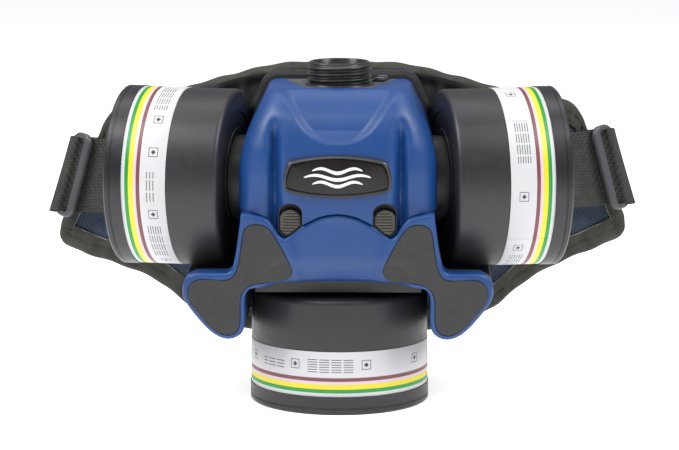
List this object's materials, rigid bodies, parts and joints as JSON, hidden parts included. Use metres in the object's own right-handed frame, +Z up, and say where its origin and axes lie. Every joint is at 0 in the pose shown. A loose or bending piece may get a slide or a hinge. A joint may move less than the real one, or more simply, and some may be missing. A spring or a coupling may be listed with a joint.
{
  "type": "powered air respirator",
  "caption": "Belt-worn air blower with screw-in filter canisters, slide-off battery pack, round-threaded hose outlet and padded waist belt.",
  "frame": {"origin": "centre of the bottom filter canister's base, which the unit stands on", "axes": "+Z up along the bottom filter and the hose outlet, -Y away from the wearer, +X across the belt to the right seen from the front"},
  "size_m": [0.3838, 0.1833, 0.208],
  "materials": {
    "cover_blue": "satin moulded, fine texture",
    "housing_black": "satin moulded",
    "panel_grey": "matt, sparkly fine texture",
    "canister_black": "fine satin",
    "label_paper": "printed film, coloured bands",
    "badge_black": "high gloss",
    "badge_frame": "satin",
    "grip_rubber": "matt soft-touch",
    "latch_plastic": "matt ribbed",
    "seal_rubber": "matt",
    "steel": "zinc-plated",
    "brass": "plated",
    "motor_metal": "turned",
    "fan_plastic": "natural",
    "scroll_plastic": "satin",
    "board_green": "solder mask",
    "cell_wrap": "shrink film",
    "carbon": "granular bed",
    "filter_paper": "glass-fibre paper",
    "lens_clear": "translucent",
    "pad_mesh": "spacer mesh over foam",
    "webbing_black": "woven webbing",
    "buckle_grey": "satin moulded",
    "key_grey": "matt"
  },
  "bodies": {
    "unit": {"rear_housing": "housing_black", "front_cover": "cover_blue", "top_panel": "panel_grey", "hose_outlet": "housing_black", "outlet_gasket": "seal_rubber", "port_insert_left": "housing_black", "port_insert_right": "housing_black", "port_insert_bottom": "housing_black", "fan_scroll": "scroll_plastic", "motor": "motor_metal", "circuit_board": "board_green", "buzzer": "housing_black", "battery_socket": "housing_black", "badge_frame": "badge_frame", "badge_plate": "badge_black", "cover_screws": "steel", "plate_screws": "steel", "keypad_bezel": "panel_grey", "indicator_lens": "lens_clear", "back_plate": "housing_black", "pad_center": "pad_mesh"},
    "fan": {"impeller": "fan_plastic"},
    "power_button": {"power_key": "key_grey"},
    "flow_button": {"flow_key": "key_grey"},
    "latch_slide_left": {"latch_left": "latch_plastic"},
    "latch_slide_right": {"latch_right": "latch_plastic"},
    "battery": {"battery_cover": "cover_blue", "battery_case": "housing_black", "battery_cells": "cell_wrap", "battery_contacts": "brass", "grip_left": "grip_rubber", "grip_right": "grip_rubber"},
    "belt_wing_left": {"wing_plate_left": "housing_black", "wing_pad_left": "pad_mesh", "webbing_left": "webbing_black"},
    "belt_wing_right": {"wing_plate_right": "housing_black", "wing_pad_right": "pad_mesh", "webbing_right": "webbing_black"},
    "strap_buckle_left": {"buckle_left": "buckle_grey"},
    "strap_buckle_right": {"buckle_right": "buckle_grey"},
    "left_thread": {"left_seal": "seal_rubber"},
    "left_filter": {"left_shell": "canister_black", "left_cap": "canister_black", "left_label": "label_paper", "left_carbon": "carbon", "left_pleats": "filter_paper"},
    "right_thread": {"right_seal": "seal_rubber"},
    "right_filter": {"right_shell": "canister_black", "right_cap": "canister_black", "right_label": "label_paper", "right_carbon": "carbon", "right_pleats": "filter_paper"},
    "bottom_thread": {"bottom_seal": "seal_rubber"},
    "bottom_filter": {"bottom_shell": "canister_black", "bottom_cap": "canister_black", "bottom_label": "label_paper", "bottom_carbon": "carbon", "bottom_pleats": "filter_paper"}
  },
  "joints": [
    {"name": "fan_spin", "type": "hinge", "parent": "unit", "child": "fan", "pos_m": [0, 0, 0.1335], "axis": [0, 1, 0], "continuous": true},
    {"name": "power_press", "type": "slide", "parent": "unit", "child": "power_button", "axis": [0, 0, -1], "range_m": [0, 0.0008], "stiffness_N_per_m": 600, "springref_m": -0.0002},
    {"name": "flow_press", "type": "slide", "parent": "unit", "child": "flow_button", "axis": [0, 0, -1], "range_m": [0, 0.0008], "stiffness_N_per_m": 600, "springref_m": -0.0002},
    {"name": "latch_left_slide", "type": "slide", "parent": "unit", "child": "latch_slide_left", "axis": [0, 0, 1], "range_m": [0, 0.003], "stiffness_N_per_m": 400, "springref_m": -0.002},
    {"name": "latch_right_slide", "type": "slide", "parent": "unit", "child": "latch_slide_right", "axis": [0, 0, 1], "range_m": [0, 0.003], "stiffness_N_per_m": 400, "springref_m": -0.002},
    {"name": "battery_slide", "type": "slide", "parent": "unit", "child": "battery", "axis": [0, -1, 0], "range_m": [0, 0.1]},
    {"name": "left_filter_travel", "type": "slide", "parent": "unit", "child": "left_thread", "axis": [-0.9816, 0.1908, 0], "range_m": [0, 0.0146]},
    {"name": "left_filter_turn", "type": "hinge", "parent": "left_thread", "child": "left_filter", "pos_m": [-0.062, 0, 0.1365], "axis": [-0.9816, 0.1908, 0], "range_deg": [0, 1440]},
    {"name": "right_filter_travel", "type": "slide", "parent": "unit", "child": "right_thread", "axis": [0.9816, 0.1908, 0], "range_m": [0, 0.0146]},
    {"name": "right_filter_turn", "type": "hinge", "parent": "right_thread", "child": "right_filter", "pos_m": [0.062, 0, 0.1365], "axis": [0.9816, 0.1908, 0], "range_deg": [0, 1440]},
    {"name": "bottom_filter_travel", "type": "slide", "parent": "unit", "child": "bottom_thread", "axis": [0, 0, -1], "range_m": [0, 0.0146]},
    {"name": "bottom_filter_turn", "type": "hinge", "parent": "bottom_thread", "child": "bottom_filter", "pos_m": [0, 0, 0.07], "axis": [0, 0, -1], "range_deg": [0, 1440]},
    {"name": "belt_left_flex", "type": "hinge", "parent": "unit", "child": "belt_wing_left", "pos_m": [-0.09522, 0.0827, 0.125], "axis": [0, 0, -1], "range_deg": [0, 25]},
    {"name": "belt_right_flex", "type": "hinge", "parent": "unit", "child": "belt_wing_right", "pos_m": [0.09522, 0.0827, 0.125], "axis": [0, 0, 1], "range_deg": [0, 25]},
    {"name": "buckle_left_tilt", "type": "hinge", "parent": "belt_wing_left", "child": "strap_buckle_left", "pos_m": [-0.17797, 0.10014, 0.12427], "axis": [0.2524, 0.0974, 0.9627], "range_deg": [-8, 8]},
    {"name": "buckle_right_tilt", "type": "hinge", "parent": "belt_wing_right", "child": "strap_buckle_right", "pos_m": [0.17797, 0.10014, 0.12427], "axis": [-0.2524, 0.0974, 0.9627], "range_deg": [-8, 8]}
  ],
  "couplings": [
    {"joint": "left_filter_travel", "follows": "left_filter_turn", "m_per_rad": 0.00057757},
    {"joint": "right_filter_travel", "follows": "right_filter_turn", "m_per_rad": 0.00057757},
    {"joint": "bottom_filter_travel", "follows": "bottom_filter_turn", "m_per_rad": 0.00057757}
  ]
}
